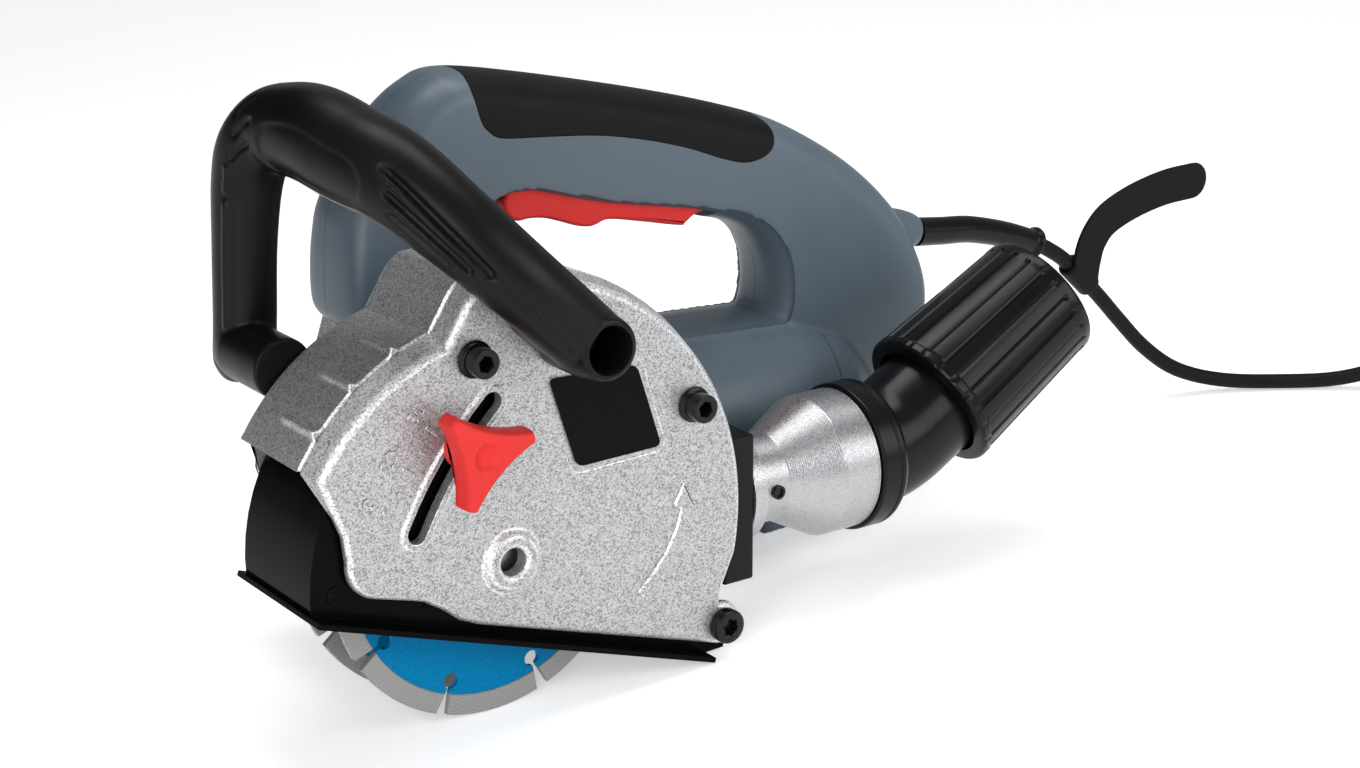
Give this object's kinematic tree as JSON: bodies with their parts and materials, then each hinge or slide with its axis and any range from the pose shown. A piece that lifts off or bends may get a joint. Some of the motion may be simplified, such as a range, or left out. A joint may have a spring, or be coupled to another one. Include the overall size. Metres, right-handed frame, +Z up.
{
  "type": "wall chaser",
  "caption": "Hand-held wall chaser with twin diamond blades in a cast housing, a swinging depth guard, a D-handle, a front loop handle and a swivelling dust elbow.",
  "frame": {"origin": "on the floor, under the middle of the machine's box without its cord", "axes": "+X to the rear along the machine, +Y away from the blade cover, +Z up"},
  "size_m": [0.7096, 0.2482, 0.2277],
  "materials": {
    "cast_aluminium": "sparkling sand-blasted casting",
    "bright_steel": "machined",
    "black_steel": "black oxide or satin black paint",
    "black_plastic": "satin black",
    "black_rubber": "matt black",
    "slate_plastic": "satin slate grey",
    "red_plastic": "satin red",
    "copper": "copper",
    "blue_blade": "blue painted core with a grey diamond rim"
  },
  "bodies": {
    "machine": {"adapter_set_screw": "black_steel", "badge_plate": "black_plastic", "blade_cover": "cast_aluminium", "blade_housing": "cast_aluminium", "brush_holder_far": "copper", "brush_holder_near": "copper", "carbon_brush_far": "black_plastic", "carbon_brush_near": "black_plastic", "coil_tie": "black_rubber", "cord_bush": "slate_plastic", "cord_coil": "black_rubber", "cord_guard": "black_rubber", "cord_strap": "black_rubber", "cover_bolt_front": "black_steel", "cover_bolt_rear": "black_steel", "dust_port": "black_plastic", "field_coil_lower": "copper", "field_coil_upper": "copper", "front_handle": "black_plastic", "front_handle_far_screw": "black_steel", "front_handle_screw": "black_steel", "gear_case": "cast_aluminium", "grip_pad": "black_rubber", "handle_shell_far": "slate_plastic", "handle_shell_near": "slate_plastic", "hose_adapter": "cast_aluminium", "motor_bearing_front": "bright_steel", "motor_bearing_rear": "bright_steel", "motor_housing": "slate_plastic", "pivot_bolt": "black_steel", "plug": "black_rubber", "spindle_bearing": "bright_steel", "spindle_far_bearing": "bright_steel", "stator_core": "bright_steel", "supply_cord": "black_rubber", "switch": "black_plastic"},
    "spindle_set": {"spindle": "bright_steel", "blade_near": "blue_blade", "blade_far": "blue_blade", "blade_spacer_1": "bright_steel", "blade_spacer_2": "bright_steel", "blade_spacer_3": "bright_steel", "inner_flange": "bright_steel", "clamp_nut": "bright_steel", "crown_gear": "bright_steel"},
    "armature": {"armature_shaft": "bright_steel", "armature_core": "bright_steel", "commutator": "copper", "cooling_fan": "black_plastic", "pinion": "bright_steel"},
    "swinging_guard": {"guard": "black_steel", "depth_stud": "bright_steel"},
    "knob": {"depth_knob": "red_plastic"},
    "paddle_trigger": {"trigger": "red_plastic"},
    "spindle_lock": {"spindle_lock_button": "black_plastic"},
    "elbow": {"dust_elbow": "black_plastic"},
    "sleeve": {"hose_sleeve": "black_rubber"}
  },
  "joints": [
    {"name": "guard_swing", "type": "hinge", "parent": "machine", "child": "swinging_guard", "pos_m": [-0.0141, -0.0328, 0.01277], "axis": [0, -1, 0], "range_deg": [-1, 13]},
    {"name": "depth_knob_turn", "type": "hinge", "parent": "swinging_guard", "child": "knob", "pos_m": [-0.12298, -0.0608, 0.11004], "axis": [0, 1, 0], "continuous": true},
    {"name": "spindle_turn", "type": "hinge", "parent": "machine", "child": "spindle_set", "pos_m": [-0.10559, -0.0608, 0.0625], "axis": [0, 1, 0], "continuous": true},
    {"name": "armature_turn", "type": "hinge", "parent": "machine", "child": "armature", "pos_m": [-0.10559, 0.0452, 0.0625], "axis": [0.9972, 0, -0.0746], "continuous": true},
    {"name": "trigger_press", "type": "hinge", "parent": "machine", "child": "paddle_trigger", "pos_m": [0.0455, 0.0452, 0.14377], "axis": [0, 1, 0], "range_deg": [0, 3.5], "stiffness_Nm_per_rad": 4, "springref_deg": -1.72},
    {"name": "spindle_lock_press", "type": "slide", "parent": "machine", "child": "spindle_lock", "axis": [0, -1, 0], "range_m": [0, 0.003], "stiffness_N_per_m": 600, "springref_m": -0.003},
    {"name": "elbow_swivel", "type": "hinge", "parent": "machine", "child": "elbow", "pos_m": [0.02441, -0.0328, 0.05406], "axis": [0.9996, 0, -0.0275], "range_deg": [0, 110]},
    {"name": "sleeve_turn", "type": "hinge", "parent": "elbow", "child": "sleeve", "pos_m": [0.08639, -0.0328, 0.05235], "axis": [0.8795, 0, 0.476], "continuous": true}
  ],
  "couplings": [
    {"joint": "armature_turn", "follows": "spindle_turn", "ratio": 3}
  ]
}
